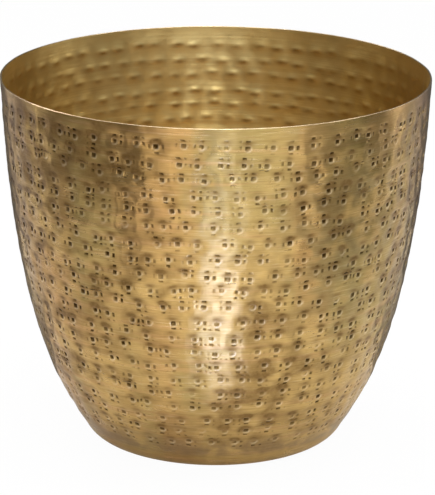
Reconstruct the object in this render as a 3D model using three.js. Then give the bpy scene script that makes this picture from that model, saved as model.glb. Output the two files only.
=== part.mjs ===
// Hammered brass plant pot: a one-piece sheet shell standing on four stick-on foot pads.
// Millimetres, z up. The pads stand on z = 0 and the pot's axis is the z axis.

import * as THREE from 'three'
import { toCreasedNormals } from 'three/addons/utils/BufferGeometryUtils.js'

// Overall sizes of the shell
const rimDiameter = 254
const shellHeight = 220
const sheetThickness = 1
const lipCrown = 0.25

// Side curve: the flat base turns up through the foot, and the wall swells out from there to the rim.
// The leans are degrees from upright, and each hold is the length over which the wall keeps its lean.
const baseDiameter = 132
const footRadius = 14
const footLean = 27.5
const footHold = 13.5
const rimLean = 2.2
const rimHold = 167

// The middle of the base is pushed up, so that the pot stands on the ring outside it
const pushDiameter = 96
const pushHeight = 2.5
const pushSlope = 8

// Hammered field: staggered rows of blows between two plain bands
const rowCount = 17
const blowsPerRow = 52
const rimBand = 12
const footBand = 12
const blowDepth = 0.6
const depthScatter = 0.15
const placeScatter = 0.12

// Foot pads, stuck under the flat ring of the base
const padCount = 4
const padDiameter = 12
const padThickness = 2
const padBevel = 0.4
const padCircle = 114
const padFirstAngle = 45

// How smooth the round stretches are
const footSteps = 5
const innerFootSteps = 4
const padSegments = 28

// Side curve of the outside of the sheet, as radius and height above the underside of the base
const lean = THREE.MathUtils.degToRad(footLean)
const rimAngle = THREE.MathUtils.degToRad(rimLean)
const footCentre = new THREE.Vector2(baseDiameter / 2, footRadius)
const footTop = new THREE.Vector2(Math.cos(lean), -Math.sin(lean)).multiplyScalar(footRadius).add(footCentre)
const rimEdge = new THREE.Vector2(rimDiameter / 2, shellHeight)
const wallCurve = new THREE.CubicBezierCurve(
  footTop,
  new THREE.Vector2(Math.sin(lean), Math.cos(lean)).multiplyScalar(footHold).add(footTop),
  new THREE.Vector2(Math.sin(rimAngle), Math.cos(rimAngle)).multiplyScalar(-rimHold).add(rimEdge),
  rimEdge
)
const wallLength = wallCurve.getLength()
const fieldLength = wallLength - rimBand - footBand
const rowPitch = fieldLength / rowCount

// A point of the wall, a given way up its curve and a given depth in from its outer face
function wallPoint(along, depth) {
  const place = along / wallLength
  const tangent = wallCurve.getTangentAt(place)
  return new THREE.Vector2(-tangent.y, tangent.x).multiplyScalar(depth).add(wallCurve.getPointAt(place))
}

// The same for the foot, where turn runs from 0 under the base to 1 at the wall
function footPoint(turn, depth) {
  const angle = -Math.PI / 2 + turn * (Math.PI / 2 - lean)
  const arm = footRadius - depth
  return new THREE.Vector2(Math.cos(angle), Math.sin(angle)).multiplyScalar(arm).add(footCentre)
}

// Every blow of the hammer has a place across and along its row and a depth, each a little uneven
THREE.MathUtils.seededRandom(11)
const uneven = (share) => share * (2 * THREE.MathUtils.seededRandom() - 1)
const blows = Array.from({ length: rowCount }, (_, row) =>
  Array.from({ length: blowsPerRow }, (_, column) => ({
    across: 2 * column + (row % 2) + 2 * uneven(placeScatter),
    along: footBand + (row + 0.5 + uneven(placeScatter)) * rowPitch,
    depth: blowDepth + uneven(depthScatter)
  }))
)

// The shell's skin is a run of rings, from the middle of the underside up the outside, over the lip
// and down the inside. Full rings have two points for each blow in a row, and the base's have one.
const fullRing = 2 * blowsPerRow
const points = []
const faces = []

function addPoint(step, place) {
  const angle = (step / fullRing) * 2 * Math.PI
  points.push(new THREE.Vector3(place.x * Math.cos(angle), place.x * Math.sin(angle), place.y + padThickness))
  return points.length - 1
}

function addRing(place, count = fullRing) {
  return Array.from({ length: count }, (_, index) => addPoint((index * fullRing) / count, place))
}

const wrap = (ring, index) => ring[(index + ring.length) % ring.length]

function joinRings(from, to) {
  for (let index = 0; index < from.length; index += 1) {
    faces.push(from[index], wrap(from, index + 1), wrap(to, index + 1))
    faces.push(from[index], wrap(to, index + 1), to[index])
  }
}

// Joins a full ring and a ring with half as many points, whichever comes first along the skin
function joinHalfRing(full, half, fullFirst) {
  half.forEach((corner, index) => {
    const [first, middle, last] = [0, 1, 2].map((step) => wrap(full, 2 * index + step))
    const next = wrap(half, index + 1)
    const fan = [[first, middle, corner], [middle, last, next], [middle, next, corner]]
    fan.forEach((face) => faces.push(...(fullFirst ? face : face.reverse())))
  })
}

function joinMiddle(ring, middle, ringFirst) {
  ring.forEach((corner, index) => {
    const next = wrap(ring, index + 1)
    faces.push(...(ringFirst ? [corner, next, middle] : [middle, next, corner]))
  })
}

// Underside of the base, out from the pushed-up middle, and the outside of the foot
const pushTop = pushDiameter / 2 - pushSlope
const underMiddle = addPoint(0, new THREE.Vector2(0, pushHeight))
const underPush = addRing(new THREE.Vector2(pushTop, pushHeight), blowsPerRow)
const underRing = addRing(new THREE.Vector2(pushDiameter / 2, 0), blowsPerRow)
joinMiddle(underPush, underMiddle, false)
joinRings(underPush, underRing)
let skin = addRing(footPoint(0, 0))
joinHalfRing(skin, underRing, false)

function continueSkin(ring) {
  joinRings(skin, ring)
  skin = ring
}

for (let step = 1; step <= footSteps; step += 1) {
  continueSkin(addRing(footPoint(step / footSteps, 0)))
}

// Outside of the hammered field: each blow is the low middle of a six-sided cell. The cells' corners
// make a zigzag ring between two rows, down under the upper row's blows and up over the lower row's.
function addZigzag(rowAbove) {
  return Array.from({ length: fullRing }, (_, step) => {
    const underBlow = (step + rowAbove) % 2 === 0
    const rise = underBlow ? -rowPitch / 6 : rowPitch / 6
    return addPoint(step, wallPoint(footBand + rowAbove * rowPitch + rise, 0))
  })
}

continueSkin(addZigzag(0))
blows.forEach((row, rowIndex) => {
  const above = addZigzag(rowIndex + 1)
  row.forEach((blow, column) => {
    const middle = addPoint(blow.across, wallPoint(blow.along, blow.depth))
    const step = 2 * column + (rowIndex % 2)
    const left = step - 1
    const right = step + 1
    faces.push(middle, wrap(skin, left), wrap(skin, step))
    faces.push(middle, wrap(skin, step), wrap(skin, right))
    faces.push(middle, wrap(skin, right), wrap(above, right))
    faces.push(middle, wrap(above, right), wrap(above, step))
    faces.push(middle, wrap(above, step), wrap(above, left))
    faces.push(middle, wrap(above, left), wrap(skin, left))
  })
  skin = above
})

// Lip of the cut sheet, with its burrs taken off to a low crown
const lipOutside = wallPoint(wallLength - lipCrown, 0)
const lipInside = wallPoint(wallLength - lipCrown, sheetThickness)
continueSkin(addRing(lipOutside))
continueSkin(addRing(new THREE.Vector2((lipOutside.x + lipInside.x) / 2, shellHeight)))
continueSkin(addRing(lipInside))

// Inside of the hammered field: every blow stands proud here, between points that stay flush. The
// faces fold along the flush points, so that each blow keeps a round of its own.
const isBlow = (row, step) => (row + step) % 2 === 0

function addInnerRow(row) {
  return Array.from({ length: fullRing }, (_, step) => {
    if (!isBlow(row, step)) {
      return addPoint(step, wallPoint(footBand + (row + 0.5) * rowPitch, sheetThickness))
    }
    const blow = blows[row][(step - (row % 2)) / 2]
    return addPoint(blow.across, wallPoint(blow.along, sheetThickness + blow.depth))
  })
}

continueSkin(addInnerRow(rowCount - 1))
for (let row = rowCount - 2; row >= 0; row -= 1) {
  const below = addInnerRow(row)
  skin.forEach((corner, step) => {
    const [next, low, nextLow] = [wrap(skin, step + 1), below[step], wrap(below, step + 1)]
    if (isBlow(row + 1, step)) {
      faces.push(corner, next, low, next, nextLow, low)
    } else {
      faces.push(corner, next, nextLow, corner, nextLow, low)
    }
  })
  skin = below
}

// Inside of the foot and of the base, one sheet thickness in from the outside
for (let step = innerFootSteps; step >= 0; step -= 1) {
  continueSkin(addRing(footPoint(step / innerFootSteps, sheetThickness)))
}
const mitre = sheetThickness * Math.tan(Math.atan2(pushHeight, pushSlope) / 2)
const overRing = addRing(new THREE.Vector2(pushDiameter / 2 + mitre, sheetThickness), blowsPerRow)
const overPush = addRing(new THREE.Vector2(pushTop + mitre, pushHeight + sheetThickness), blowsPerRow)
joinHalfRing(skin, overRing, true)
joinRings(overRing, overPush)
joinMiddle(overPush, addPoint(0, new THREE.Vector2(0, pushHeight + sheetThickness)), true)

const shellGeometry = new THREE.BufferGeometry().setFromPoints(points)
shellGeometry.setIndex(faces)

// Foot pad: a flat disc with the edge of its underside bevelled, its top against the base
function padGeometry() {
  const radius = padDiameter / 2
  const section = new THREE.Path()
  section.moveTo(0, 0)
  section.lineTo(radius - padBevel, 0)
  section.lineTo(radius, padBevel)
  section.lineTo(radius, padThickness)
  section.lineTo(0, padThickness)
  const pad = new THREE.LatheGeometry(section.getPoints(), padSegments)
  return pad.rotateX(Math.PI / 2)
}

// Finishes: aged brass and dark rubber
const agedBrass = new THREE.MeshStandardMaterial({ color: 0xb48a4a, roughness: 0.38, metalness: 1 })
const darkRubber = new THREE.MeshStandardMaterial({ color: 0x2b2724, roughness: 0.9, metalness: 0 })
const creaseAngle = THREE.MathUtils.degToRad(20)

const pot = new THREE.Group()

const shell = new THREE.Mesh(toCreasedNormals(shellGeometry, creaseAngle), agedBrass)
shell.name = 'pot_shell'
pot.add(shell)

for (let index = 0; index < padCount; index += 1) {
  const angle = THREE.MathUtils.degToRad(padFirstAngle) + (index / padCount) * 2 * Math.PI
  const pad = new THREE.Mesh(padGeometry(), darkRubber.clone())
  pad.name = `foot_pad_${index + 1}`
  pad.position.set((padCircle / 2) * Math.cos(angle), (padCircle / 2) * Math.sin(angle), 0)
  pot.add(pad)
}

export default pot
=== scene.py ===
import math

import bpy
import numpy as np
from mathutils import Matrix, Vector


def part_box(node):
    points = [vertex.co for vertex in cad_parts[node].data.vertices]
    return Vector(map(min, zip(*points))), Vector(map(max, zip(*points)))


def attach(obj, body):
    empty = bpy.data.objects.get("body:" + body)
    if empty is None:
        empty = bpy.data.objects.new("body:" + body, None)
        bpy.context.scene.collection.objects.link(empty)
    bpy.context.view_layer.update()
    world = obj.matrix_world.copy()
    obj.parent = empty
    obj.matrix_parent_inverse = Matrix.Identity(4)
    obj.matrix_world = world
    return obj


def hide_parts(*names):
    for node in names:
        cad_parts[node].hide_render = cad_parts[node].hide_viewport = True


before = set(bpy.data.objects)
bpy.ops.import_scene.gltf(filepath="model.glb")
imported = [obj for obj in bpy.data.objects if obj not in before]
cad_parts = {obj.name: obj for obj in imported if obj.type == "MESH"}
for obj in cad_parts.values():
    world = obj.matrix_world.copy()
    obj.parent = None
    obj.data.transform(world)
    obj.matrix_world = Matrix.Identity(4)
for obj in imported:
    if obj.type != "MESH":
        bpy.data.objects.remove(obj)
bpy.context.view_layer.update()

mm = 0.001
fullTurn = 2 * math.pi
rng = np.random.default_rng(41)


# Camera

# It stands where the photograph was taken from. The picture is 435 by 495 pixels.
photoView = dict(
    pictureHigh=495,
    focalPixels=2965,  # focal length in pixels of the picture
    sensor=36.0,
    away=1.700,  # level distance from the pot's axis
    high=0.6394,  # above the floor
    lookDown=17.142,
    tilt=0.342,  # turned about its own line of sight
    axisLeft=2.62,  # pixels by which the pot's axis lies left of the middle
    clip=(0.05, 60),
)


def makeCamera(view):
    data = bpy.data.cameras.new("photo_camera")
    data.sensor_width = view["sensor"]
    data.lens = view["sensor"] * view["focalPixels"] / view["pictureHigh"]
    data.shift_x = view["axisLeft"] / view["pictureHigh"]
    data.clip_start, data.clip_end = view["clip"]
    camera = bpy.data.objects.new("photo_camera", data)
    bpy.context.scene.collection.objects.link(camera)
    camera.matrix_world = (
        Matrix.Translation((0, -view["away"], view["high"]))
        @ Matrix.Rotation(math.radians(90 - view["lookDown"]), 4, "X")
        @ Matrix.Rotation(math.radians(view["tilt"]), 4, "Z")
    )
    bpy.context.scene.camera = camera


makeCamera(photoView)
print("camera set")


# The shell's section

# Metres, and degrees from upright. A hold is the length over which the wall keeps a lean.
shellLow, shellHigh = (np.array(corner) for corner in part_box("pot_shell"))
shellShape = dict(
    rimRadius=0.127,
    base=float(shellLow[2]),
    high=float(shellHigh[2] - shellLow[2]),
    sheet=0.001,
    lipRound=0.0003,
    lipSquare=0.6,  # at 1 the lip's section is an ellipse, and less makes it squarer
    baseRadius=0.066,
    footRadius=0.014,
    footLean=27.5,
    footHold=0.0135,
    rimLean=2.2,
    rimHold=0.167,
    pushRadius=0.048,
    pushHigh=0.0025,
    pushSlope=0.008,
    footBand=0.0105,
    rimBand=0.0062,
    outOfRound=0.00015,
    threeSided=0.6,  # share of three-sided form to one of oval form
    roundPhases=(0.7, 2.1),  # of the oval form and of the three-sided one
    waves=(11, 17, 23, 31, 41, 53),  # how many of each go round the rim
    waveHigh=0.0010,  # times one over their number
    easeUp=1.5,  # power by which both grow up the wall
)


def evenStep(share):
    # 3 share^2 - 2 share^3, an even S from 0 to 1
    return share * share * (3 - 2 * share)


def makeSideCurve(shape, steps=1500):
    # wall = cubic Bezier from the end of the foot's arc to the rim, each handle along its end's lean;
    # the table holds radius, height and outward normal against the length gone along the curve
    lean, rimLean = math.radians(shape["footLean"]), math.radians(shape["rimLean"])
    foot = shape["footRadius"]
    start = np.array([shape["baseRadius"] + foot * math.cos(lean), foot - foot * math.sin(lean)])
    end = np.array([shape["rimRadius"], shape["high"]])
    low = start + shape["footHold"] * np.array([math.sin(lean), math.cos(lean)])
    high = end - shape["rimHold"] * np.array([math.sin(rimLean), math.cos(rimLean)])
    t = np.linspace(0, 1, steps)[:, None]
    points = (1 - t) ** 3 * start + 3 * t * (1 - t) ** 2 * low + 3 * t * t * (1 - t) * high + t ** 3 * end
    slope = (1 - t) ** 2 * (low - start) + 2 * t * (1 - t) * (high - low) + t * t * (end - high)
    slope /= np.linalg.norm(slope, axis=1)[:, None]
    gone = np.concatenate([[0], np.cumsum(np.linalg.norm(np.diff(points, axis=0), axis=1))])
    return dict(gone=gone, radius=points[:, 0], height=points[:, 1], outX=slope[:, 1], outZ=-slope[:, 0])


sideCurve = makeSideCurve(shellShape)
wallLength = float(sideCurve["gone"][-1])


def onWall(along, depth):
    # point of the side curve at a length along it, moved in by depth against its outward normal
    radius, height, outX, outZ = (
        np.interp(along, sideCurve["gone"], sideCurve[name]) for name in ("radius", "height", "outX", "outZ")
    )
    return radius - depth * outX, height - depth * outZ


def wallRadius(along):
    return np.interp(along, sideCurve["gone"], sideCurve["radius"])


def onFoot(share, depth):
    # foot = arc about a point over the flat base's edge, from straight down (0) to the wall's lean (1)
    angle = -math.pi / 2 + share * (math.pi / 2 - math.radians(shellShape["footLean"]))
    arm = shellShape["footRadius"] - depth
    return shellShape["baseRadius"] + arm * np.cos(angle), shellShape["footRadius"] + arm * np.sin(angle)


def onBase(radius, depth):
    # base = flat ring, and inside it an even S-shaped step up to the pushed-up middle
    share = np.clip((shellShape["pushRadius"] - radius) / shellShape["pushSlope"], 0, 1)
    return radius, shellShape["pushHigh"] * evenStep(share) + depth


# The hammer's blows

# Rows of blows go round the wall at one spacing, so a row near the rim has more of them. The hammer's
# face is domed, with square teeth. The middle one prints whole, and its neighbours with their near
# edges, more on the side that the hammer leans to.
hammering = dict(
    rows=21,
    spacing=0.0130,
    across=0.36,  # how unevenly a blow lands, as a share of half a cell
    along=0.22,
    rowMove=0.10,  # how far a whole row strays, as a share of a row, and how far it waves
    rowWave=0.10,
    rowWaves=(3, 7),  # how many of each go round the pot
    spin=0.14,  # how far the hammer turns, in radians
    dentRadius=0.0092,
    dentNarrow=1.3,  # above 1 a dent is narrower up the wall than across it
    dentDeep=0.00053,
    dentInside=0.55,  # how much of a dent's depth shows inside
    dentUneven=0.35,
    dentWider=0.12,
    toothApart=0.0042,
    toothReach=1.11,  # in teeth
    toothLean=0.34,
    leanRight=0.12,
    leanUp=(-0.42, 0.30),  # near the foot and near the rim
    toothDeep=0.00032,
    toothLarger=0.14,  # how much larger or smaller the middle tooth prints
    toothBite=1.6,  # above 1 the teeth near the face's middle print to full depth
    toothGrain=(0.8, 1.1),
    force=(0.35, 1.25),  # least and most, about 1
    forceUneven=0.22,
    swellHigh=0.00009,  # how far the metal swells round the middle print
    swellAway=0.0020,
    swellWide=0.0005,
    swellTo=(0.5, -0.85),  # across and up, the side where it is fullest and its painted highlight brightest
    swellLeast=0.15,
    back=(0.60, 1.15),  # how strongly a blow shows inside
    stain=(0.34, 1.12),  # how dark the painted shade above a blow is, where the dent's upper side faces down
    paintedShadeClean=0.75,  # times this where there is no patina
)
# Soot in the prints: how full they are, and how much is left at each edge of a print; more at the upper edge
# is painted shade, as in a pit lit from above
sooting = dict(full=0.84, aged=0.30, nearRim=0.12, uneven=0.14, least=0.3,
               upper=1.0, between=0.9, lower=0.65, corner=0.85)
rowCount = hammering["rows"]
rowPitch = (wallLength - shellShape["footBand"] - shellShape["rimBand"]) / rowCount


def rowStray(row, turn):
    # how far a row lies above its even place, in rows: a move of its own and two slow waves
    row = np.clip(row, 0, rowCount - 1)
    slow, quick = (np.sin(fullTurn * (count * turn + phases[row]))
                   for count, phases in zip(hammering["rowWaves"], rowPhases))
    return rowMoves[row] + 0.5 * hammering["rowWave"] * (slow + quick)


def rowMiddle(row, turn):
    # how far up the wall the middle of a row lies
    return shellShape["footBand"] + (row + 0.5 + rowStray(row, turn)) * rowPitch


def rowEdge(row, turn):
    # lower edge of a row, midway between it and the one below; the first and last edge are level
    stray = 0.5 * (rowStray(row - 1, turn) + rowStray(row, turn))
    return shellShape["footBand"] + (row + stray * ((row > 0) & (row < rowCount))) * rowPitch


rowMoves = rng.uniform(-hammering["rowMove"], hammering["rowMove"], rowCount)
rowPhases = rng.uniform(0, 1, (2, rowCount))


def strikeBlows(hammer):
    # places = evenly spaced and then moved a little; depth, width, lean and force vary by blow.
    # All rows' blows lie in one list, and first says where each row's begin.
    rows = np.arange(hammer["rows"])
    middle = shellShape["footBand"] + (rows + 0.5) * rowPitch
    girth = fullTurn * wallRadius(middle)
    around = np.rint(girth / hammer["spacing"]).astype(int)
    first = np.concatenate([[0], np.cumsum(around)])
    row = np.repeat(rows, around)
    total = int(first[-1])

    def uneven(most):
        return most * rng.uniform(-1, 1, total)

    def spread(usual):
        return usual * rng.normal(0, 1, total)

    phase = rng.uniform(0, 1, hammer["rows"])
    cell = np.arange(total) - first[row] + 0.5 + phase[row] + uneven(0.5 * hammer["across"])
    turn = cell / around[row]
    moved = uneven(0.5 * hammer["along"] * rowPitch)
    level = rowMiddle(row, turn)
    aged = patina(turn, level)
    leanUp = np.interp(row / hammer["rows"], (0, 1), hammer["leanUp"])
    struck = dict(
        around=around, first=first, phase=phase, turn=turn, moved=moved, along=level + moved,
        spin=uneven(hammer["spin"]),
        size=1 + uneven(hammer["toothLarger"]),
        deep=hammer["dentDeep"] * (1 + uneven(hammer["dentUneven"])),
        wide=hammer["dentRadius"] * (1 + uneven(hammer["dentWider"])),
        leanAcross=hammer["leanRight"] + spread(hammer["toothLean"]),
        leanAlong=leanUp + spread(hammer["toothLean"]),
        force=np.clip(1 + spread(hammer["forceUneven"]), *hammer["force"]),
        back=rng.uniform(*hammer["back"], total),
        stain=rng.uniform(*hammer["stain"], total) * (hammer["paintedShadeClean"] + aged),
    )
    soot = sooting["full"] + sooting["aged"] * aged + sooting["nearRim"] * row / hammer["rows"]
    soot = np.clip(soot + uneven(sooting["uneven"]), sooting["least"], 1)
    struck["soot"] = soot * (1 - sootThinned(turn))
    return struck


# Patches of thick patina, some of which are painted dark reflections: share of a turn from +X, length up the
# wall, half width as such a share, half height and strength
patches = (
    (-0.365, 0.212, 0.055, 0.022, 1.2),
    (-0.340, 0.195, 0.030, 0.018, 0.6),
    (-0.415, 0.190, 0.020, 0.040, 0.8),
    (-0.405, 0.214, 0.035, 0.016, 1.2),
    (-0.325, 0.214, 0.040, 0.010, 1.0),
    (-0.215, 0.105, 0.028, 0.020, 0.9),
    (-0.180, 0.072, 0.040, 0.018, 0.6),
    (-0.228, 0.028, 0.040, 0.018, 0.9),
    (-0.222, 0.050, 0.032, 0.014, 0.8),
    (-0.205, 0.060, 0.030, 0.018, 0.8),
    (-0.334, 0.117, 0.030, 0.018, 0.6),
    (-0.305, 0.122, 0.024, 0.020, 0.6),
    (-0.411, 0.065, 0.030, 0.030, 1.0),
    (-0.405, 0.165, 0.022, 0.030, 1.1),
    (-0.147, 0.150, 0.035, 0.025, 0.6),
    (-0.160, 0.185, 0.030, 0.040, 0.6),
    (-0.412, 0.148, 0.018, 0.018, 1.0),
    (-0.403, 0.090, 0.016, 0.014, 0.8),
    (-0.290, 0.150, 0.020, 0.035, 0.5),
    (-0.330, 0.200, 0.035, 0.025, 0.3),
    (-0.370, 0.080, 0.050, 0.030, 0.5),
    (-0.445, 0.170, 0.030, 0.050, 0.7),
    (-0.060, 0.120, 0.045, 0.060, 0.6),
    (0.090, 0.190, 0.060, 0.035, 0.7),
    (0.180, 0.090, 0.070, 0.040, 0.8),
    (0.320, 0.160, 0.050, 0.045, 0.7),
    (0.430, 0.070, 0.060, 0.035, 0.8),
)


# Other changes of the finish, and painted light and shade inside, in the same measures
finishAndShade = dict(
    sootThinned=dict(turn=-0.25, wide=0.085, share=0.30),
    green=(-0.140, 0.152, 0.05, 0.05),  # place and half sizes, as of a patch
    bright=dict(turn=0.262, wide=0.05, fade=0.14),  # inside, and so are the next two: painted light round this turn, painted shade away from it
    nearRim=dict(below=0.014, fade=0.008, brighter=0.25),
    nearFoot=dict(along=0.12, fade=0.08, dull=0.9),
)


def turnFrom(turn, middle):
    # the shorter way round from middle to turn, as -0.5 to 0.5 of a turn
    return (turn - middle + 0.5) % 1 - 0.5


def softRound(turn, along, middleTurn, middleAlong, wide, high):
    # exp(-(across/wide)^2 - (up/high)^2)
    across = turnFrom(turn, middleTurn)
    return np.exp(-(across / wide) ** 2 - ((along - middleAlong) / high) ** 2)


def patina(turn, along):
    # the patches' soft rounds, each times its strength, add up to at most 1
    total = np.zeros_like(turn)
    for *place, strength in patches:
        total += strength * softRound(turn, along, *place)
    return np.minimum(total, 1)


def sootThinned(turn):
    # less soot in the prints round one turn, the side that faces the camera, by share * exp(-(across/wide)^2)
    place = finishAndShade["sootThinned"]
    return place["share"] * np.exp(-(turnFrom(turn, place["turn"]) / place["wide"]) ** 2)


def greened(turn, along):
    # greenish cast of the outside
    return softRound(turn, along, *finishAndShade["green"])


def tarnish(turn, along):
    # painted light and shade: the inside is bright round one turn and dulls away from it by an even S, less
    # along the rim, and lower down it is at least as dull as an even slope to the foot makes it
    bright, rim, foot = finishAndShade["bright"], finishAndShade["nearRim"], finishAndShade["nearFoot"]
    away = np.abs(turnFrom(turn, bright["turn"]))
    share = np.clip((away - bright["wide"]) / bright["fade"], 0, 1)
    nearRim = np.clip((along - wallLength + rim["below"]) / rim["fade"], 0, 1)
    dull = evenStep(share) * (1 - rim["brighter"] * nearRim)
    return np.maximum(dull, np.clip((foot["along"] - along) / foot["fade"], 0, foot["dull"]))


blows = strikeBlows(hammering)


def nearBlows(turn, along):
    # the nine nearest blows to each place, one by one, and how far across and up it lies from them
    nearRow = np.rint((along - shellShape["footBand"]) / rowPitch - 0.5).astype(int)
    radius = wallRadius(along)
    for rowStep in (-1, 0, 1):
        row = nearRow + rowStep
        real = (row >= 0) & (row < rowCount)
        row = np.clip(row, 0, rowCount - 1)
        around = blows["around"][row]
        nearest = np.rint(turn * around - 0.5 - blows["phase"][row]).astype(int)
        for step in (-1, 0, 1):
            blow = blows["first"][row] + (nearest + step) % around
            across = turnFrom(turn, blows["turn"][blow]) * fullTurn * radius
            yield blow, real, across, along - blows["along"][blow]


def dentDepth(turn, along):
    # a blow's dent = deep * (1 - (across^2 + narrow * up^2) / wide^2)^2, and dents that meet add up
    total = np.zeros_like(turn)
    for blow, real, across, up in nearBlows(turn, along):
        far = (across ** 2 + hammering["dentNarrow"] * up ** 2) / blows["wide"][blow] ** 2
        share = np.clip(1 - far, 0, 1)
        total += np.where(real, blows["deep"][blow] * share ** 2, 0)
    return total


def markBlows(turn, along, strength, wide, high, rise=0.0):
    # sum of strength * exp(-(across/wide)^2 - ((up - rise)/high)^2) about each blow
    total = np.zeros_like(turn)
    for blow, real, across, up in nearBlows(turn, along):
        far = (across / wide) ** 2 + ((up - rise) / high) ** 2
        total += np.where(real, np.exp(-far) * strength[blow], 0)
    return total


print("blows struck:", len(blows["turn"]))


# The hammered field's grid

def makeCell(edge, half):
    # lines through one blow's cell, in metres from where it landed: its edge, and then the same
    # distances on both sides of 0. Where pressing is 1 a tooth's flat face presses.
    return mm * np.concatenate([[-edge], -np.array(half)[::-1], [0], half])


cellAcross = makeCell(6.5, [1.12, 1.4, 1.85, 2.3, 3.3, 3.7, 4.8, 5.3])
cellAlong = makeCell(5.0, [1.02, 1.3, 1.75, 2.2, 3.25, 3.65, 4.6, 4.87])
pressing = np.array([0, 0, 1, 1, 0, 0, 0, 0, 1, 1, 1, 0, 0, 0, 0, 1, 1, 0], bool)
cellLines = len(pressing)
centreLine = cellLines // 2
outerTeeth = 3 * mm  # lines farther out than this belong to the outer teeth
outerRoom = 0.94  # how much of the room that a blow has they may take


def fitLines(cell, index, size, before, after):
    # the middle tooth prints larger or smaller, and the lines of the outer teeth draw in where the
    # room before or after the blow is short
    line = cell[index]
    room = np.where(line < 0, before, after)
    drawnIn = np.minimum(1, outerRoom * room / np.abs(cell[1]))
    fitted = line * np.where(np.abs(line) > outerTeeth, drawnIn, size)
    return np.where(index == 0, -before, fitted)


def hammeredRow(row):
    # across, the lines are spread evenly at the row's edges and gather on the teeth within it by
    # 1 - rise^6; along, they follow the blow by 1 - side^4, so that neighbouring cells meet. Rise and
    # side go from -1 to 1 over a cell.
    around, first = blows["around"][row], blows["first"][row]
    level = shellShape["footBand"] + (row + 0.5) * rowPitch
    girth = fullTurn * float(wallRadius(level))
    turnAt = blows["turn"][first:first + around]
    after = ((np.roll(turnAt, -1) - turnAt) % 1) * girth / 2
    before = np.roll(after, 1)
    cell, lineAcross = np.divmod(np.arange(around * cellLines), cellLines)
    cell, lineAcross, lineAlong = np.broadcast_arrays(cell, lineAcross, np.arange(cellLines)[:, None])
    blow = first + cell
    before, after, size = before[cell], after[cell], blows["size"][blow]
    across = fitLines(cellAcross, lineAcross, size, before, after)
    turn = blows["turn"][blow] + across / girth
    middle = rowMiddle(row, turn)
    below, above = middle - rowEdge(row, turn), rowEdge(row + 1, turn) - middle
    moved = blows["moved"][blow]
    upLine = fitLines(cellAlong, lineAlong, size, below + moved, above - moved)
    fromMiddle = upLine + moved
    rise = np.clip(np.where(fromMiddle < 0, fromMiddle / below, fromMiddle / above), -1, 1)
    even = -before + (before + after) * lineAcross / cellLines
    across = even + (1 - rise ** 6) * (across - even)
    side = across / np.where(across < 0, before, after)
    follow = (1 - side ** 4) * (1 - rise ** 4)
    still = fitLines(cellAlong, lineAlong, size, below, above)
    up = still + (1 - side ** 4) * (moved + upLine - still) + follow * blows["spin"][blow] * across
    prints = pressTeeth(hammering, blow, lineAcross, lineAlong, across, upLine)
    across = across - follow * blows["spin"][blow] * upLine
    return blows["turn"][blow] + across / girth, middle + up, *prints


def pressTeeth(hammer, blow, lineAcross, lineAlong, across, up):
    # the hammer's face is domed, so a tooth presses by 1 - distance^2 / reach^2 from where the hammer leans.
    # The soot in a print thins out from its upper edge to its lower one, which also paints the shade of a pit
    # lit from above. Round the middle print the metal swells to a ring, exp(-((distance - away) / wide)^2),
    # fuller on the lower right, and the finish paints a highlight on it.
    apart = hammer["toothApart"]
    reach = hammer["toothReach"] * apart
    leanAcross, leanAlong = blows["leanAcross"][blow] * apart, blows["leanAlong"][blow] * apart
    force = blows["force"][blow]
    share = np.clip(1 - ((across - leanAcross) ** 2 + (up - leanAlong) ** 2) / reach ** 2, 0, 1)
    share = np.minimum(hammer["toothBite"] * share, 1) * force
    share = share * rng.uniform(*hammer["toothGrain"], share.shape)
    pressed = share * (pressing[lineAcross] & pressing[lineAlong])

    # painted shade: the soot stays fullest at a print's upper edge and thins towards its lower one
    corner = (np.abs(lineAcross - centreLine) == 1) & (np.abs(lineAlong - centreLine) == 1)
    upperEdge = (pressing & ~np.roll(pressing, -1))[lineAlong]
    lowerEdge = (pressing & ~np.roll(pressing, 1))[lineAlong]
    left = np.where(lowerEdge, sooting["lower"], sooting["between"])
    left = np.where(upperEdge, sooting["upper"], left) * np.where(corner, sooting["corner"], 1)

    far = np.hypot(across, 1.1 * up) + 1e-9
    toSide, toTop = hammer["swellTo"]
    fuller = np.clip((toSide * across + toTop * up) / far, 0, 1)
    swellAndHighlight = np.exp(-((far - hammer["swellAway"]) / hammer["swellWide"]) ** 2) * force
    swellAndHighlight *= hammer["swellLeast"] + (1 - hammer["swellLeast"]) * fuller
    return pressed, swellAndHighlight, np.minimum(pressed * left * blows["soot"][blow], 1)


# The shell's skin

# It is one closed run of rings, from the middle of the underside out and up the outside, over the lip
# and down the inside to the middle again. A ring has as many points as its stretch needs. Inside, the
# rings lie close over the fineRows of blows next to the rim, which show, and coarser farther down.
skinRings = dict(base=16, foot=12, plain=6, lip=10, fine=12, coarse=6, innerFoot=8, innerBase=12)
skinPoints = dict(base=480, rimBand=720, inside=720)
fineRows = 8
# Half sizes of the marks about each blow, and how far above it they lie: painted shade over each dent's upper
# side, the blow's back inside, and painted shade under that back
outerPaintedShade = dict(wide=3.2 * mm, high=1.7 * mm, rise=2.8 * mm)
blowBack = dict(wide=3.3 * mm, high=1.8 * mm)
innerPaintedShade = dict(wide=3.6 * mm, high=1.3 * mm, rise=-0.6 * mm)
backHigh = 0.00036
backMost = 1.3  # where two backs meet, times one alone
# strength of the rubbed pale colour and painted highlight along the lip
lipRubbedAndHighlight = 1.7
skinMarks = ("pit", "rim", "stain", "inside", "patina", "tarnish", "green")
skinValues = ("turn", "radius", "height", *skinMarks)
skin = dict(counts=[], kinds=[], starts={}, **{name: [] for name in skinValues})


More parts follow.
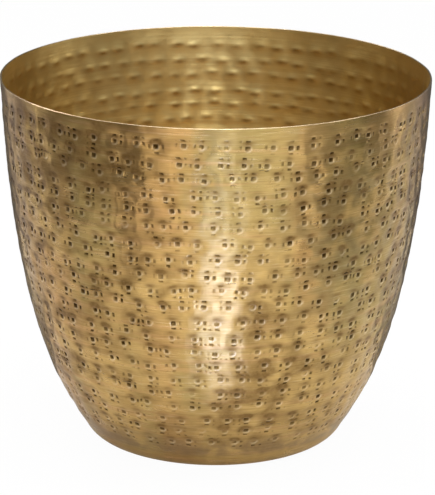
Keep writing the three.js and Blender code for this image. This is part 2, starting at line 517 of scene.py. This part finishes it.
def addRings(name, place, turn, kind=-1, **given):
    # place = radius and height on a grid of rings by points; what is not given stays 0. Rings of one
    # kind and with as many points are joined point to point.
    skin["starts"][name] = len(skin["counts"])
    skin["counts"] += [turn.shape[1]] * turn.shape[0]
    skin["kinds"] += [kind] * turn.shape[0]
    along = np.interp(place[1], sideCurve["height"], sideCurve["gone"])
    given.update(turn=turn, radius=place[0], height=place[1])
    given.update(patina=patina(turn, along), tarnish=tarnish(turn, along), green=greened(turn, along))
    for value in skinValues:
        skin[value].append(np.broadcast_to(np.asarray(given.get(value, 0.0), float), turn.shape).ravel())


def plainGrid(values, points):
    # every value at evenly spaced turns, as a grid of turns and one of values
    return np.broadcast_arrays(np.arange(points)[None, :] / points, values[:, None])


def addPlainWall(name, low, high, rings, points, side):
    # side is 0 for the outer face and 1 for the inner one, which lies a sheet's thickness farther in
    turn, along = plainGrid(np.linspace(low, high, rings), points)
    depth = dentDepth(turn, along) * (hammering["dentInside"] if side else 1.0) + side * shellShape["sheet"]
    addRings(name, onWall(along, depth), turn, inside=side)


def addSkin(shape):
    # the stretches in order; their names say where they lie
    sheet = shape["sheet"]
    base, rim, inside = (skinPoints[stretch] for stretch in ("base", "rimBand", "inside"))
    footTop, rimLow = shape["footBand"], wallLength - shape["rimBand"]
    lipLow = wallLength - shape["lipRound"]
    step = footTop / skinRings["plain"]

    turn, radii = plainGrid(np.linspace(0, shape["baseRadius"], skinRings["base"] + 1)[1:], base)
    addRings("base", onBase(radii, 0), turn)
    turn, share = plainGrid(np.linspace(0, 1, skinRings["foot"] + 1)[1:], base)
    addRings("foot", onFoot(share, 0), turn)
    addPlainWall("footBand", step, footTop - step, skinRings["plain"] - 1, base, 0)

    for row in range(rowCount):
        turn, along, pressed, swellAndHighlight, soot = hammeredRow(row)
        depth = dentDepth(turn, along) + hammering["toothDeep"] * pressed - hammering["swellHigh"] * swellAndHighlight
        # painted shade above each blow, stronger where there is patina
        stain = np.clip(markBlows(turn, along, blows["stain"], **outerPaintedShade), 0, 1)
        addRings(f"row{row}", onWall(along, depth), turn, row, pit=soot, rim=swellAndHighlight, stain=stain)
    addPlainWall("rimBand", rimLow, lipLow, skinRings["plain"], rim, 0)

    # lip = half a squarish ellipse from the outer face over to the inner one: the cosine and sine of
    # the angle, both to the power lipSquare
    turn, angle = plainGrid(np.linspace(0, math.pi, skinRings["lip"] + 2)[1:-1], rim)
    outer, inner = onWall(lipLow, 0.0), onWall(lipLow, sheet)
    middle = (outer[0] + inner[0]) / 2
    across = np.sign(np.cos(angle)) * np.abs(np.cos(angle)) ** shape["lipSquare"]
    over = np.sin(angle) ** shape["lipSquare"]
    lipPlace = (middle + (outer[0] - middle) * across, outer[1] + shape["lipRound"] * over)
    addRings("lip", lipPlace, turn, rim=lipRubbedAndHighlight)

    addPlainWall("innerRimBand", lipLow, rimLow, skinRings["plain"], inside, 1)
    fineEnd = rimLow - fineRows * rowPitch
    fine = np.linspace(rimLow, fineEnd, fineRows * skinRings["fine"] + 1)[1:]
    coarse = np.linspace(fineEnd, footTop, (rowCount - fineRows) * skinRings["coarse"] + 1)[1:]
    turn, along = plainGrid(np.concatenate([fine, coarse]), inside)
    back = np.clip(markBlows(turn, along, blows["back"], **blowBack), 0, backMost)
    # painted shade on the lower side of each blow's back, as on a bump lit from above
    stain = np.clip(markBlows(turn, along, blows["back"], **innerPaintedShade), 0, 1)
    depth = sheet + hammering["dentInside"] * dentDepth(turn, along) + backHigh * back
    addRings("innerField", onWall(along, depth), turn, inside=1, stain=stain)
    addPlainWall("innerFootBand", footTop - step, step, skinRings["plain"] - 1, inside, 1)
    turn, share = plainGrid(np.linspace(1, 0, skinRings["innerFoot"] + 1), inside)
    addRings("innerFoot", onFoot(share, sheet), turn, inside=1)
    turn, radii = plainGrid(np.linspace(shape["baseRadius"], 0, skinRings["innerBase"] + 1)[1:-1], base)
    addRings("innerBase", onBase(radii, sheet), turn, inside=1)


addSkin(shellShape)
skin.update({value: np.concatenate(skin[value]) for value in skinValues})
skin["counts"] = np.array(skin["counts"])
skin["first"] = np.concatenate([[0], np.cumsum(skin["counts"])])


def placeSkin(skin, shape):
    # the radius grows by outOfRound * (cos 2a + threeSided * cos 3a) and, for each n of the waves, by
    # waveHigh / n * sin(n a), all times (height / high)^easeUp, where a is the angle round the axis
    angle = skin["turn"] * fullTurn
    share = np.clip(skin["height"] / shape["high"], 0, 1) ** shape["easeUp"]
    oval, three = shape["roundPhases"]
    wobble = np.cos(2 * angle + oval) + shape["threeSided"] * np.cos(3 * angle + three)
    radius = skin["radius"] + shape["outOfRound"] * share * wobble
    for waves, phase in zip(shape["waves"], rng.uniform(0, fullTurn, len(shape["waves"]))):
        radius = radius + shape["waveHigh"] / waves * share * np.sin(waves * angle + phase)
    return np.stack([radius * np.cos(angle), radius * np.sin(angle), skin["height"] + shape["base"]], -1)


def joinRings(one, other):
    # faces between two rings. With as many points they are quads. Otherwise both rings' points are
    # passed in the order of their turn, and each step on one ring makes a triangle to the other.
    oneCount, otherCount = skin["counts"][[one, other]]
    oneFirst, otherFirst = skin["first"][[one, other]]
    here, there = np.arange(oneCount), np.arange(otherCount)
    here, hereNext = oneFirst + here, oneFirst + (here + 1) % oneCount
    there, thereNext = otherFirst + there, otherFirst + (there + 1) % otherCount
    if oneCount == otherCount and skin["kinds"][one] == skin["kinds"][other]:
        return [np.stack([here, hereNext, thereNext, there], -1)]

    def passed(turns, at, side):
        # index of the last point whose turn lies before a given one, going round
        laps = np.floor(at - turns[0])
        return (np.searchsorted(turns, at - laps, side) - 1) % len(turns)

    hereTurn, thereTurn = skin["turn"][here], skin["turn"][there]
    hereEnd = np.append(hereTurn[1:], hereTurn[0] + 1)
    thereEnd = np.append(thereTurn[1:], thereTurn[0] + 1)
    up = np.stack([here, hereNext, otherFirst + passed(thereTurn, hereEnd, "right")], -1)
    down = np.stack([thereNext, there, oneFirst + passed(hereTurn, thereEnd, "left")], -1)
    return [np.concatenate([up, down])]


def faceNormals(points, faces):
    # a face's area vector = half the cross product of its diagonals, or of two sides of a triangle
    corner = points[faces]
    if faces.shape[1] == 4:
        return 0.5 * np.cross(corner[:, 2] - corner[:, 0], corner[:, 3] - corner[:, 1])
    return 0.5 * np.cross(corner[:, 1] - corner[:, 0], corner[:, 2] - corner[:, 0])


def pointNormals(points, faceList):
    # a point's normal = the sum of its faces' area vectors
    total = np.zeros_like(points)
    for faces in faceList:
        area = faceNormals(points, faces)
        for axis in range(3):
            for corner in range(faces.shape[1]):
                total[:, axis] += np.bincount(faces[:, corner], area[:, axis], len(points))
    return total / np.maximum(np.linalg.norm(total, axis=1, keepdims=True), 1e-20)


skinPlaces = placeSkin(skin, shellShape)
ringCount = len(skin["counts"])
skinFaces = sum([joinRings(ring, ring + 1) for ring in range(ringCount - 1)], [])
skinNormals = pointNormals(skinPlaces, skinFaces)
print("skin:", ringCount, "rings,", len(skinPlaces), "points")


def meshFrom(name, vertices, faceList, marks, normals=None):
    # faceList holds index arrays, each for faces of one number of corners
    mesh = bpy.data.meshes.new(name)
    loops = np.concatenate([part.reshape(-1) for part in faceList]).astype(np.int32)
    sizes = np.concatenate([np.full(len(part), part.shape[1]) for part in faceList])
    mesh.vertices.add(len(vertices))
    mesh.vertices.foreach_set("co", vertices.astype(np.float32).ravel())
    mesh.loops.add(len(loops))
    mesh.loops.foreach_set("vertex_index", loops)
    mesh.polygons.add(len(sizes))
    mesh.polygons.foreach_set("loop_start", (np.cumsum(sizes) - sizes).astype(np.int32))
    mesh.update(calc_edges=True)
    mesh.polygons.foreach_set("use_smooth", np.ones(len(sizes), bool))
    for mark, values in marks.items():
        layer = mesh.attributes.new(mark, "FLOAT", "POINT")
        layer.data.foreach_set("value", values.astype(np.float32).ravel())
    mesh.validate()
    if normals is not None:
        mesh.normals_split_custom_set_from_vertices(normals.astype(np.float32))
    piece = bpy.data.objects.new(name, mesh)
    bpy.context.scene.collection.objects.link(piece)
    return piece


def cutSkin(name, rings, poles=()):
    # joins the skin's rings in the order given. They close up into a band, or where poles gives two
    # heights, the first and last ring are fanned to the axis.
    faceList = sum([joinRings(one, other) for one, other in zip(rings[:-1], rings[1:])], [])
    places, normals = skinPlaces, skinNormals
    if poles:
        first, last = len(skinPlaces), len(skinPlaces) + 1
        places = np.concatenate([skinPlaces, [[0, 0, height] for height in poles]])
        normals = np.concatenate([skinNormals, [[0, 0, -1], [0, 0, 1]]])
        lowest, highest = (
            skin["first"][ring] + np.arange(skin["counts"][ring]) for ring in (rings[0], rings[-1])
        )
        faceList.append(np.stack([np.full(len(lowest), first), np.roll(lowest, -1), lowest], -1))
        faceList.append(np.stack([highest, np.roll(highest, -1), np.full(len(highest), last)], -1))
    else:
        faceList += joinRings(rings[-1], rings[0])
    sorts = [[part for part in faceList if part.shape[1] == corners] for corners in (4, 3)]
    sorts = [np.concatenate(sort) for sort in sorts if sort]
    used = np.unique(np.concatenate([sort.ravel() for sort in sorts]))
    place = np.zeros(len(places), int)
    place[used] = np.arange(len(used))
    values = {mark: np.append(skin[mark], skin[mark][[0, -1]])[used] for mark in skinMarks}
    return meshFrom(name, places[used], [place[sort] for sort in sorts], values, normals[used])


# The shell is cut level into closed bands, so that each stays a light mesh. Their cut faces coincide,
# and their normals are the whole skin's, so no seam shows.
bandCuts = (3, 7, 11, 14, 17, 19)  # rows of blows
bandNames = ("shell_foot", *(f"shell_wall_{step}" for step in range(1, len(bandCuts))), "shell_rim")


def cutBands():
    def innerRing(row):
        down = rowCount - row
        fine, coarse = min(down, fineRows), max(0, down - fineRows)
        return skin["starts"]["innerField"] - 1 + fine * skinRings["fine"] + coarse * skinRings["coarse"]

    outer = [0] + [skin["starts"][f"row{row}"] for row in bandCuts]
    inner = [ringCount - 1] + [innerRing(row) for row in bandCuts]
    rings = [[*range(outer[cut], outer[cut + 1] + 1), *range(inner[cut + 1], inner[cut] + 1)]
             for cut in range(len(bandCuts))]
    rings.append([*range(outer[-1], inner[-1] + 1)])
    middle = shellShape["base"] + shellShape["pushHigh"]
    poles = [(middle, middle + shellShape["sheet"])] + [()] * len(bandCuts)
    return [cutSkin(*band) for band in zip(bandNames, rings, poles)]


bands = cutBands()
for band in bands:
    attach(band, "root")
    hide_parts("pot_shell")
    print(band.name, "triangles:", sum(len(face.vertices) - 2 for face in band.data.polygons))


# Foot pads

padShape = dict(round=0.0005, around=64, roundRows=7, flatRows=5, creaseFrom=50)


def makePad(node, shape):
    # a disc turned from its section: flat underside, lower edge rounded by a quarter circle, upright
    # side, flat top
    low, high = (np.array(corner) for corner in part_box(node))
    middle, radius, thick = (low + high) / 2, (high[0] - low[0]) / 2, high[2] - low[2]
    around, edge = shape["around"], shape["round"]
    arc = np.linspace(math.pi / 2, 0, shape["roundRows"])
    flat = np.linspace(0, radius - edge, shape["flatRows"] + 1)[1:-1]
    radii = np.concatenate([flat, radius - edge * (1 - np.cos(arc)), [radius], flat[::-1]])
    heights = np.concatenate([0 * flat, edge * (1 - np.sin(arc)), [thick], 0 * flat + thick])
    angle = np.arange(around) * fullTurn / around
    x = middle[0] + radii[:, None] * np.cos(angle)
    y = middle[1] + radii[:, None] * np.sin(angle)
    z = np.broadcast_to(low[2] + heights[:, None], x.shape)
    poles = [[middle[0], middle[1], end[2]] for end in (low, high)]
    vertices = np.concatenate([np.stack([x, y, z], -1).reshape(-1, 3), poles])
    here = np.arange(x.size).reshape(x.shape)
    there = np.roll(here, -1, axis=1)
    faces = [
        np.stack([here[:-1], there[:-1], there[1:], here[1:]], -1).reshape(-1, 4),
        np.stack([np.full(around, x.size), there[0], here[0]], -1),
        np.stack([here[-1], there[-1], np.full(around, x.size + 1)], -1),
    ]
    pad = meshFrom(node.replace("foot_pad", "stick_on_pad"), vertices, faces, {})
    pad.data.set_sharp_from_angle(angle=math.radians(shape["creaseFrom"]))
    return pad


padNodes = sorted(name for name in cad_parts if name.startswith("foot_pad"))
pads = [makePad(node, padShape) for node in padNodes]
for pad, node in zip(pads, padNodes):
    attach(pad, "root")
    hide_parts(node)
print("pads made:", len(pads))


# Node trees written as sums

class Wire:
    # an output of a node; sums and products with numbers or other wires add Math nodes
    def __init__(self, bench, socket):
        self.bench, self.socket = bench, socket

    def maths(self, operation, first, second=0.0):
        return self.bench.add("ShaderNodeMath", dict(operation=operation), {0: first, 1: second})

    def __add__(self, other):
        return self.maths("ADD", self, other)

    def __radd__(self, other):
        return self.maths("ADD", other, self)

    def __rsub__(self, other):
        return self.maths("SUBTRACT", other, self)

    def __mul__(self, other):
        return self.maths("MULTIPLY", self, other)

    def __rmul__(self, other):
        return self.maths("MULTIPLY", other, self)

    def atMost(self, other):
        return self.maths("MINIMUM", self, other)

    def atLeast(self, other):
        return self.maths("MAXIMUM", self, other)

    def fade(self, low, high):
        # 0 below low, 1 above high, and an even S between them
        settings = dict(interpolation_type="SMOOTHSTEP")
        return self.bench.add("ShaderNodeMapRange", settings, {0: self, 1: low, 2: high})


class Bench:
    # one material's or world's node tree
    def __init__(self, name, tree=None):
        if tree is None:
            self.material = bpy.data.materials.new(name)
            self.material.use_nodes = True
            tree = self.material.node_tree
        self.nodes, self.links = tree.nodes, tree.links
        self.nodes.clear()

    def add(self, kind, settings=None, sockets=None, output=0):
        node = self.nodes.new(kind)
        for name, value in (settings or {}).items():
            if name == "stops":
                self.setStops(node.color_ramp, value)
            else:
                setattr(node, name, value)
        for name, value in (sockets or {}).items():
            if isinstance(value, Wire):
                self.links.new(value.socket, node.inputs[name])
            else:
                node.inputs[name].default_value = value
        return Wire(self, node.outputs[output]) if node.outputs else None

    @staticmethod
    def setStops(ramp, stops):
        while len(ramp.elements) < len(stops):
            ramp.elements.new(1.0)
        for element, (place, colour) in zip(ramp.elements, stops):
            element.position = place
            element.color = colour

    def place(self):
        return self.add("ShaderNodeTexCoord", output="Object")

    def height(self, place):
        return self.add("ShaderNodeSeparateXYZ", None, {0: place}, output="Z")

    def ray(self, kind):
        return self.add("ShaderNodeLightPath", output=f"Is {kind} Ray")

    def seen(self):
        # 1 where the camera looks, also through something clear
        return self.ray("Camera").atLeast(self.ray("Transmission"))

    def mark(self, name):
        return self.add("ShaderNodeAttribute", dict(attribute_name=name), output="Fac")

    def noise(self, place, scale, detail=3.0, rough=0.5, twist=0.0, stretch=None):
        if stretch:
            place = self.add("ShaderNodeMapping", None, {"Vector": place, "Scale": stretch})
        sockets = {"Vector": place, "Scale": scale, "Detail": detail, "Roughness": rough}
        return self.add("ShaderNodeTexNoise", None, {**sockets, "Distortion": twist})

    def mix(self, share, first, second):
        settings = dict(data_type="RGBA")
        return self.add("ShaderNodeMix", settings, {0: share, 6: first, 7: second}, output=2)

    def bump(self, height, strength, distance, normal=None):
        sockets = {"Height": height, "Strength": strength, "Distance": distance}
        if normal is not None:
            sockets["Normal"] = normal
        return self.add("ShaderNodeBump", None, sockets)

    def surface(self, **sockets):
        named = {name.replace("_", " "): value for name, value in sockets.items()}
        return self.add("ShaderNodeBsdfPrincipled", None, named)

    def glow(self, colour, strength):
        return self.add("ShaderNodeEmission", None, {"Color": colour, "Strength": strength})

    def blend(self, share, first, second):
        return self.add("ShaderNodeMixShader", None, {0: share, 1: first, 2: second})

    def finish(self, shader):
        self.add("ShaderNodeOutputMaterial", None, {"Surface": shader})
        return self.material


# Aged brass

brass = dict(
    clean=(0.625, 0.418, 0.150, 1),
    reddish=(0.470, 0.280, 0.100, 1),
    tan=(0.600, 0.350, 0.150, 1),
    footShadeColour=(0.270, 0.190, 0.115, 1),  # painted shade over the foot
    olive=(0.405, 0.300, 0.108, 1),
    green=(0.375, 0.315, 0.140, 1),
    paleAndHighlight=(0.900, 0.740, 0.480, 1),  # lighter brush lines, rubbed edges and painted highlights
    brown=(0.212, 0.118, 0.038, 1),  # patina, dark brush lines and the painted shade above the blows
    soot=(0.074, 0.040, 0.010, 1),  # in the tooth marks
    footShadeFrom=(0.010, 0.014),  # heights over which the painted shade over the foot begins
    footShadeTo=(0.018, 0.028),  # and ends
    anisotropic=0.95,
)
innerBrass = dict(
    clean=(1.000, 0.810, 0.375, 1),
    olive=(0.940, 0.725, 0.300, 1),
    bumpShade=(0.440, 0.262, 0.072, 1),  # painted shade under the lit tops of the blows' backs
    brown=(0.350, 0.205, 0.055, 1),
    innerShade=(0.330, 0.204, 0.052, 1),
    dull=(0.260, 0.165, 0.060, 1),  # on the base
    dullHeights=(0.005, 0.022),  # where the dull metal begins to clear, and where it has
    anisotropic=0.50,
)


def makeBrass(look):
    # cloudy metal, then tan streaks, green cast, brush lines, painted shade in a belt over the foot, patina
    # with the painted shade above the blows, rubbed edges with painted highlights, and soot, each mixed in
    # over the last
    b = Bench("aged_brass_hammered")
    place = b.place()
    marks = ("pit", "rim", "stain", "patina", "green")
    pit, rim, stain, patch, green = (b.mark(name) for name in marks)
    brushed = b.noise(place, 1.0, 3.0, 0.6, stretch=(70, 70, 1500))
    fineBrush = b.noise(place, 1.0, 1.0, 0.4, stretch=(28, 28, 1100))
    streaks = b.noise(place, 1.0, 3.0, 0.55, stretch=(16, 16, 240))
    clouds = b.noise(place, 13.0, 3.0, 0.5, 0.3)
    runs = b.noise(place, 1.0, 3.0, 0.5, 0.3, (30, 30, 5))
    smears = b.noise(place, 55.0, 2.0, 0.45, 0.6, (1, 1, 1.6))
    speckle = b.noise(place, 420.0, 3.0, 0.6)

    height = b.height(place)
    # painted shade: a dark reflection of the floor's shadow, in a belt over the foot
    footShade = height.fade(*look["footShadeFrom"]) * (1.0 - height.fade(*look["footShadeTo"]))
    aged = (clouds * 0.3 + smears * 0.7).fade(0.42, 0.64)
    # painted shade above the blows, with the patina's mottles and its patches
    shadeAndPatina = stain * (0.45 + smears * 1.15) + aged * 0.26
    # the patches are patina and, in places, painted dark reflections
    shadeAndPatina = (shadeAndPatina + patch * (smears * 0.5 + runs * 0.5).fade(0.36, 0.58) * 0.62).atMost(1.0)
    colour = b.mix(runs.fade(0.40, 0.60), look["reddish"], look["olive"])
    colour = b.mix(0.15 + 0.85 * clouds.fade(0.38, 0.60), colour, look["clean"])
    colour = b.mix(streaks.fade(0.50, 0.68) * (1.0 - green) * 0.45, colour, look["tan"])
    colour = b.mix(green * smears.fade(0.35, 0.60) * 0.75, colour, look["green"])
    colour = b.mix(brushed.fade(0.50, 0.75) * 0.36, colour, look["brown"])
    colour = b.mix((1.0 - brushed.fade(0.25, 0.48)) * 0.24, colour, look["paleAndHighlight"])
    colour = b.mix(footShade * smears.fade(0.3, 0.6) * (0.26 + speckle * 0.5), colour, look["footShadeColour"])
    colour = b.mix(shadeAndPatina * (0.55 + speckle * 0.6), colour, look["brown"])
    # painted highlight on the swell round each print, fullest on its lower right, and on the lip, which is
    # also rubbed
    colour = b.mix((rim * (0.05 + speckle * 0.80)).atMost(0.9), colour, look["paleAndHighlight"])
    colour = b.mix((pit * (0.75 + speckle * 0.7)).atMost(0.97), colour, look["soot"])

    rough = 0.24 + brushed * 0.08 + shadeAndPatina * 0.12 + pit * 0.20 + rim * 0.04
    normal = b.bump(fineBrush, 0.24, 0.0002)
    return b.finish(b.surface(
        Base_Color=colour, Metallic=1.0, Roughness=rough, Normal=normal,
        Anisotropic=look["anisotropic"], Anisotropic_Rotation=0.25,
    ))


def makeInnerBrass(look):
    # the inside was left as spun: long level rings, and the backs of the blows
    b = Bench("aged_brass_spun")
    place = b.place()
    stain, innerShade = b.mark("stain"), b.mark("tarnish")
    rings = b.noise(place, 1.0, 4.0, 0.65, stretch=(4, 4, 420))
    clouds = b.noise(place, 14.0, 3.0, 0.5, 0.3)
    speckle = b.noise(place, 300.0, 3.0, 0.6)
    mottles = b.noise(place, 1.0, 2.0, 0.5, stretch=(80, 80, 190))
    dull = (1.0 - b.height(place).fade(*look["dullHeights"])) * (0.55 + clouds * 0.5)

    colour = b.mix(clouds.fade(0.35, 0.65), look["olive"], look["clean"])
    # painted shade inside, away from the bright turn and towards the foot
    colour = b.mix(innerShade * (0.53 + clouds * 0.62), colour, look["innerShade"])
    colour = b.mix(rings.fade(0.50, 0.70) * 0.17, colour, look["brown"])
    colour = b.mix(mottles.fade(0.50, 0.72) * 0.12, colour, look["brown"])
    # painted shade under the backs of the blows
    colour = b.mix((stain * (0.50 + speckle * 0.8)).atMost(0.9), colour, look["bumpShade"])
    colour = b.mix(dull.atMost(0.9), colour, look["dull"])

    rough = 0.32 + rings * 0.12 + stain * 0.08 + dull * 0.12
    normal = b.bump(rings, 0.40, 0.0004, b.bump(mottles, 0.12, 0.0010))
    return b.finish(b.surface(
        Base_Color=colour, Metallic=1.0 - dull * 0.45, Roughness=rough, Normal=normal,
        Anisotropic=look["anisotropic"], Anisotropic_Rotation=0.25,
    ))


def giveFinish(band, finishes):
    # a face takes the second finish where all its corners are marked as inside
    mesh = band.data
    inside = np.zeros(len(mesh.vertices))
    mesh.attributes["inside"].data.foreach_get("value", inside)
    corners = np.zeros(len(mesh.loops), np.int32)
    mesh.loops.foreach_get("vertex_index", corners)
    starts = np.zeros(len(mesh.polygons), np.int32)
    mesh.polygons.foreach_get("loop_start", starts)
    least = np.minimum.reduceat(inside[corners], starts)
    for finish in finishes:
        mesh.materials.append(finish)
    mesh.polygons.foreach_set("material_index", (least > 0.5).astype(np.int32))


brassFinishes = (makeBrass(brass), makeInnerBrass(innerBrass))
for band in bands:
    giveFinish(band, brassFinishes)


# Pad rubber

padRubber = dict(colour=(0.024, 0.021, 0.018, 1), dusty=(0.085, 0.078, 0.070, 1), rough=0.78)


def makeRubber(look):
    b = Bench("pad_rubber")
    place = b.place()
    dust = b.noise(place, 240.0, 4.0, 0.6).fade(0.48, 0.72)
    grain = b.noise(place, 2600.0, 2.0, 0.5)
    return b.finish(b.surface(
        Base_Color=b.mix(dust * 0.6, look["colour"], look["dusty"]),
        Roughness=look["rough"] + dust * 0.14,
        Normal=b.bump(grain, 0.3, 0.00008),
    ))


rubber = makeRubber(padRubber)
for pad in pads:
    pad.data.materials.append(rubber)
print("finishes made")


# Studio

# A pale table, a white backdrop and a dimmer room on the camera's side
studio = dict(
    tableCorners=((-0.42, -1.0, 0), (0.46, -1.0, 0), (0.46, 1.2, 0), (-0.42, 1.2, 0)),
    tableColour=(0.80, 0.80, 0.80, 1),
    tableWhite=0.97,  # how far the camera sees the table as pure white
    tableInMetal=0.15,  # and the metal
    roomStops=(  # from the camera's side, 0, to straight behind the pot, 1
        (0.50, (0.19, 0.18, 0.17, 1)),
        (0.58, (0.26, 0.26, 0.26, 1)),
        (0.84, (0.45, 0.42, 0.47, 1)),
        (0.92, (0.38, 0.36, 0.41, 1)),
        (0.95, (0.08, 0.08, 0.08, 1)),
    ),
)


def makeTable(look):
    table = meshFrom("table", np.array(look["tableCorners"]), [np.array([[0, 1, 2, 3]])], {})
    b = Bench("table_white")
    white = b.seen() * look["tableWhite"] + b.ray("Glossy") * look["tableInMetal"]
    paper = b.add("ShaderNodeBsdfDiffuse", None, {"Color": look["tableColour"]})
    table.data.materials.append(b.finish(b.blend(white, paper, b.glow((1, 1, 1, 1), 1.0))))


def makeWorld(look):
    # the room's brightness goes by how far back a direction points: (y + 1) / 2
    world = bpy.data.worlds.new("studio_room")
    bpy.context.scene.world = world
    world.use_nodes = True
    b = Bench("room", world.node_tree)
    direction = b.add("ShaderNodeTexCoord", output="Generated")
    depth = b.add("ShaderNodeSeparateXYZ", None, {0: direction}, output="Y")
    colour = b.add("ShaderNodeValToRGB", dict(stops=look["roomStops"]), {0: depth * 0.5 + 0.5})
    room, white = (b.add("ShaderNodeBackground", None, {"Color": shade}) for shade in (colour, (1, 1, 1, 1)))
    b.add("ShaderNodeOutputWorld", None, {"Surface": b.blend(b.seen(), room, white)})


# Soft lamps. A glow is the lamp's brightness as it would show in a mirror, where 1 is white.
lampAim = (0, 0, 0.1)  # where nothing else is given
lamps = dict(
    topSoftbox=dict(place=(0.0, -0.1, 1.7), size=(1.3, 1.3), glow=5.1),
    keySoftbox=dict(place=(0.12, -1.9, 1.35), size=(0.22, 0.8), glow=14.0),
    lowFrontLeft=dict(place=(-0.28, -1.05, 0.17), aim=(0, 0, 0.17), size=(0.31, 0.34), glow=2.15,
                      tint=(1, 0.93, 0.84)),
    lowFarLeft=dict(place=(-0.57, -0.98, 0.17), aim=(0, 0, 0.17), size=(0.28, 0.34), glow=1.1,
                    tint=(1, 0.90, 0.78)),
    lowFrontRight=dict(place=(0.50, -1.0, 0.17), aim=(0, 0, 0.17), size=(0.80, 0.34), glow=1.7),
    highLeft=dict(place=(-0.95, -0.15, 1.15), aim=(-0.2, -0.1, 0), size=(0.5, 0.5), glow=3.2,
                  tint=(1, 0.95, 0.90)),
    highRight=dict(place=(0.95, -0.05, 1.15), aim=(0.2, -0.1, 0), size=(0.5, 0.5), glow=7.0),
    rightSoftbox=dict(place=(1.3, 0.35, 0.45), size=(0.7, 0.6), glow=1.8),
    backLeftSoftbox=dict(place=(-0.8, 0.95, 1.3), size=(0.4, 0.4), glow=14.0, tint=(1, 0.94, 0.92)),
)
# Cards that only the metal sees: turn to the right from the camera's side, distance from the axis,
# width, height, lift off the table, slope from lying flat, and brightness. A soft one thins out
# towards its edges, and a steep one shines upwards only, like a lamp with a grid on it.
cards = dict(
    cardLeft=dict(turn=-41, away=0.40, wide=0.045, high=0.60, glow=0.03),
    cardRight=dict(turn=68, away=0.42, wide=0.24, high=0.31, lift=0.06, glow=0.08, tint=(0.9, 1.0, 0.6)),
    cardBehind=dict(turn=180, away=0.22, wide=0.57, high=0.45, glow=0.14),
    cardBehindLow=dict(turn=180, away=0.06, wide=0.46, high=0.16, slope=0, glow=0.20),
    cardFarRight=dict(turn=108, away=0.60, wide=0.42, high=0.7, glow=1.0, tint=(1, 0.97, 0.90), soft=True),
    lineFarLeft=dict(turn=-127, away=0.60, wide=0.03, high=0.7, glow=1.2),
    lineLeft=dict(turn=-98, away=0.60, wide=0.014, high=0.7, glow=4.5),
    lineRight=dict(turn=103, away=0.60, wide=0.014, high=0.7, glow=4.5),
    lineFront=dict(turn=6, away=0.80, wide=0.016, high=0.36, glow=4.0),
    lowFront=dict(turn=2.5, away=0.20, wide=0.115, high=0.085, slope=0, glow=9.0,
                  tint=(0.85, 1.11, 2.3), soft=True, steep=True),
)
cardLines = 25  # each way over a card
steepFade = (0.55, 0.72)  # 1 - cosine of a ray to a steep card's normal, where it dims and is gone


def makeLamp(name, lamp):
    # power = glow * pi * area, for a lamp that shines evenly from its face
    data = bpy.data.lights.new(name, "AREA")
    data.shape = "RECTANGLE"
    data.size, data.size_y = lamp["size"]
    data.energy = lamp["glow"] * math.pi * lamp["size"][0] * lamp["size"][1]
    data.color = lamp.get("tint", (1, 1, 1))
    light = bpy.data.objects.new(name, data)
    bpy.context.scene.collection.objects.link(light)
    aim = Vector(lamp.get("aim", lampAim)) - Vector(lamp["place"])
    light.matrix_world = Matrix.Translation(lamp["place"]) @ aim.to_track_quat("-Z", "Y").to_matrix().to_4x4()
    light.visible_camera = False


def makeCard(name, card):
    # point = middle + u * half the width + (v + 1) / 2 * the height, where u and v go from -1 to 1; a
    # soft card thins out by (1 - u^2)^2 (1 - v^2)^2
    turn, slope = math.radians(card["turn"]), math.radians(card.get("slope", 90))
    outward = np.array([math.sin(turn), -math.cos(turn), 0])
    middle = card["away"] * outward + [0, 0, card.get("lift", 0.002)]
    side = 0.5 * card["wide"] * np.array([math.cos(turn), math.sin(turn), 0])
    up = card["high"] * (math.cos(slope) * outward + [0, 0, math.sin(slope)])
    line = np.linspace(-1, 1, cardLines)
    v, u = (grid.ravel() for grid in np.meshgrid(line, line, indexing="ij"))
    points = middle + u[:, None] * side + 0.5 * (v[:, None] + 1) * up
    bell = ((1 - u ** 2) * (1 - v ** 2)) ** 2 if card.get("soft") else np.ones(len(u))
    here = np.arange(cardLines ** 2).reshape(cardLines, cardLines)
    corners = (here[:-1, :-1], here[:-1, 1:], here[1:, 1:], here[1:, :-1])
    sheet = meshFrom(name, points, [np.stack(corners, -1).reshape(-1, 4)], dict(bell=bell))
    b = Bench(name)
    share = b.mark("bell")
    if card.get("steep"):
        facing = b.add("ShaderNodeLayerWeight", None, {"Blend": 0.5}, output="Facing")
        share = share * (1.0 - facing.fade(*steepFade))
    glow = b.glow((*card.get("tint", (1, 1, 1)), 1), card["glow"])
    sheet.data.materials.append(b.finish(b.blend(share, b.add("ShaderNodeBsdfTransparent"), glow)))
    for rays in ("camera", "diffuse", "transmission", "shadow"):
        setattr(sheet, "visible_" + rays, False)


makeTable(studio)
makeWorld(studio)
for name, card in cards.items():
    makeCard(name, card)
for name, lamp in lamps.items():
    makeLamp(name, lamp)
print("studio lit")

bpy.context.scene.view_settings.view_transform = "Standard"
